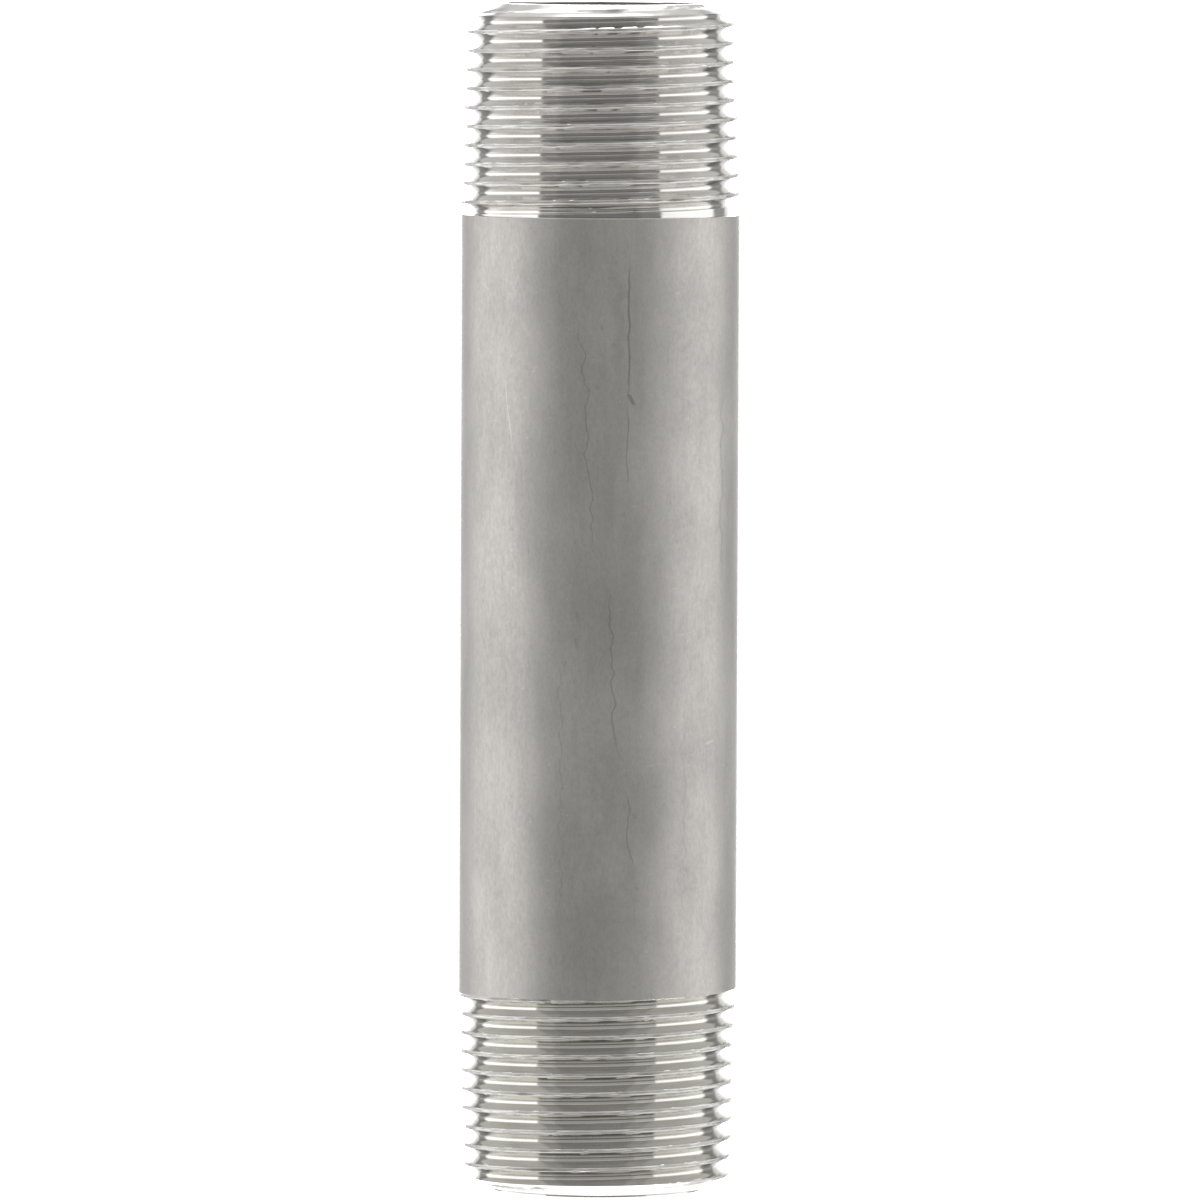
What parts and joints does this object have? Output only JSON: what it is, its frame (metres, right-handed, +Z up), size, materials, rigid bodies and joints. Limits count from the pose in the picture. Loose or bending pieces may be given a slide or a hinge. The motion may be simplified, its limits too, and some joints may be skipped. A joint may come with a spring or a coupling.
{
  "type": "threaded pipe nipple",
  "caption": "Straight length of heavy-wall steel pipe with a plain barrel and a tapered external pipe thread on each end.",
  "frame": {"origin": "centre of the lower end face, on the pipe's axis", "axes": "+Z up along the pipe's axis; -Y is the side where each thread's first root depth is given; +X to the right seen from there"},
  "size_m": [0.0266, 0.0266, 0.1143],
  "materials": {
    "steel": "dull mill finish on the barrel, bright machined threads and end chamfers"
  },
  "bodies": {
    "root": {"pipe_nipple": "steel"}
  },
  "joints": []
}
